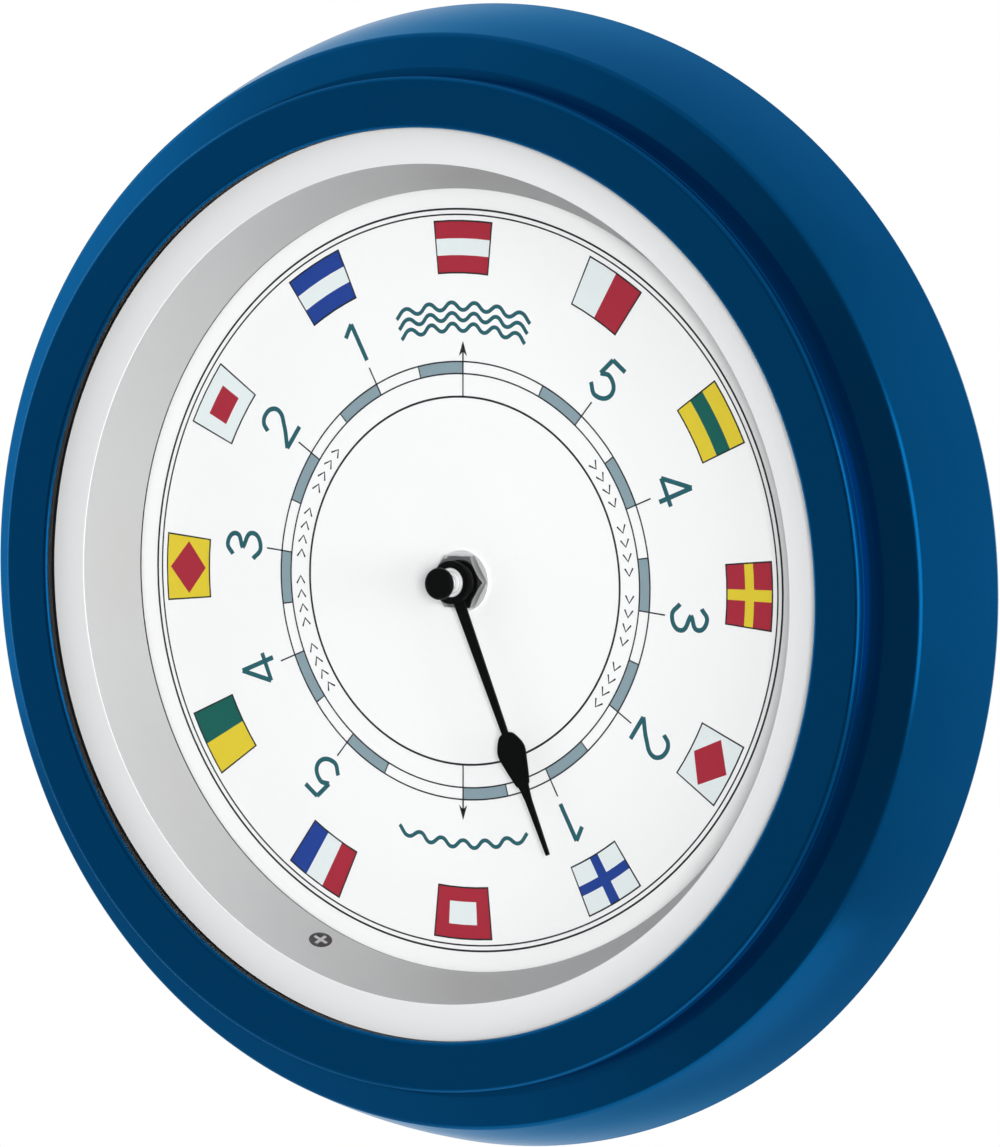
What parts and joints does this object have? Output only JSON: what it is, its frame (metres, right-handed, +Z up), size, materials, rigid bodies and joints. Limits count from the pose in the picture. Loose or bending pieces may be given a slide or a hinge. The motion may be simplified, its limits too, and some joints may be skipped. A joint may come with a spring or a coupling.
{
  "type": "wall tide clock",
  "caption": "Round wall clock with a stepped case, recessed dial and one hand driven by a quartz movement that follows the tide.",
  "frame": {"origin": "centre of the flat back that meets the wall, on the hand's axis", "axes": "+X to the viewer's right, +Y into the wall along the hand's axis, +Z up to the twelve o'clock mark"},
  "size_m": [0.2292, 0.0365, 0.2292],
  "materials": {
    "blue_case": "gloss",
    "black_rubber": "matte",
    "clear_glass": "clear",
    "satin_silver": "satin",
    "dark_steel": "satin",
    "white_dial": "matte",
    "nickel": "polished",
    "black_paint": "satin",
    "brass_work": "satin",
    "white_gear": "matte",
    "black_plastic": "matte",
    "copper_wire": "satin",
    "green_board": "satin",
    "cell_wrap": "satin"
  },
  "bodies": {
    "case": {"case_shell": "blue_case", "front_bezel": "blue_case", "lens_gasket": "black_rubber", "glass_lens": "clear_glass", "reflector_ring": "satin_silver", "reflector_screw": "dark_steel", "dial_plate": "white_dial", "threaded_bush": "nickel", "dial_cushion": "black_rubber", "dial_washer": "nickel", "hex_nut": "nickel", "train_plate": "white_gear", "movement_front": "black_plastic", "movement_back": "black_plastic", "stator_plate": "dark_steel", "coil_core": "dark_steel", "coil_winding": "copper_wire", "circuit_board": "green_board", "quartz_crystal": "nickel", "chip": "black_plastic", "contact_left": "nickel", "contact_right": "nickel", "back_cover": "black_plastic", "bezel_screws": "dark_steel", "cover_screws": "dark_steel"},
    "tide_hand": {"tide_hand": "black_paint", "hand_bush": "nickel", "hour_wheel": "brass_work"},
    "centre_arbor": {"centre_arbor": "nickel", "cannon_pinion": "brass_work", "hand_cap": "black_paint"},
    "minute_wheel": {"minute_wheel": "white_gear"},
    "setting_knob": {"setting_knob": "black_plastic", "setting_stem": "white_gear"},
    "rotor": {"rotor_magnet": "dark_steel", "rotor_pinion": "white_gear"},
    "intermediate_wheel": {"intermediate_wheel": "white_gear"},
    "second_wheel": {"second_wheel": "white_gear"},
    "third_wheel": {"third_wheel": "white_gear"},
    "centre_wheel": {"centre_wheel": "white_gear"},
    "battery": {"battery_cell": "cell_wrap"}
  },
  "joints": [
    {"name": "tide_hand_turn", "type": "hinge", "parent": "case", "child": "tide_hand", "pos_m": [0, 0, 0], "axis": [0, 1, 0], "continuous": true},
    {"name": "centre_arbor_turn", "type": "hinge", "parent": "case", "child": "centre_arbor", "pos_m": [0, 0, 0], "axis": [0, 1, 0], "continuous": true},
    {"name": "minute_wheel_turn", "type": "hinge", "parent": "case", "child": "minute_wheel", "pos_m": [-0.01039, 0, 0.006], "axis": [0, 1, 0], "continuous": true},
    {"name": "setting_knob_turn", "type": "hinge", "parent": "case", "child": "setting_knob", "pos_m": [-0.0145, 0, 0.01728], "axis": [0, 1, 0], "continuous": true},
    {"name": "rotor_turn", "type": "hinge", "parent": "case", "child": "rotor", "pos_m": [0.01342, 0, 0.01991], "axis": [0, 1, 0], "continuous": true},
    {"name": "intermediate_wheel_turn", "type": "hinge", "parent": "case", "child": "intermediate_wheel", "pos_m": [0.01342, 0, 0.01391], "axis": [0, 1, 0], "continuous": true},
    {"name": "second_wheel_turn", "type": "hinge", "parent": "case", "child": "second_wheel", "pos_m": [0.01582, 0, 0.00733], "axis": [0, 1, 0], "continuous": true},
    {"name": "third_wheel_turn", "type": "hinge", "parent": "case", "child": "third_wheel", "pos_m": [0.00846, 0, 0.00308], "axis": [0, 1, 0], "continuous": true},
    {"name": "centre_wheel_turn", "type": "hinge", "parent": "case", "child": "centre_wheel", "pos_m": [0, 0, 0], "axis": [0, 1, 0], "continuous": true},
    {"name": "battery_lift", "type": "slide", "parent": "case", "child": "battery", "axis": [0, 1, 0], "range_m": [0, 0.03]}
  ],
  "couplings": [
    {"joint": "minute_wheel_turn", "follows": "tide_hand_turn", "ratio": -4},
    {"joint": "centre_arbor_turn", "follows": "tide_hand_turn", "ratio": 12},
    {"joint": "setting_knob_turn", "follows": "tide_hand_turn", "ratio": 12},
    {"joint": "intermediate_wheel_turn", "follows": "rotor_turn", "ratio": -0.2},
    {"joint": "second_wheel_turn", "follows": "rotor_turn", "ratio": 0.033333},
    {"joint": "third_wheel_turn", "follows": "rotor_turn", "ratio": -0.0044444},
    {"joint": "centre_wheel_turn", "follows": "rotor_turn", "ratio": 0.00055556}
  ]
}
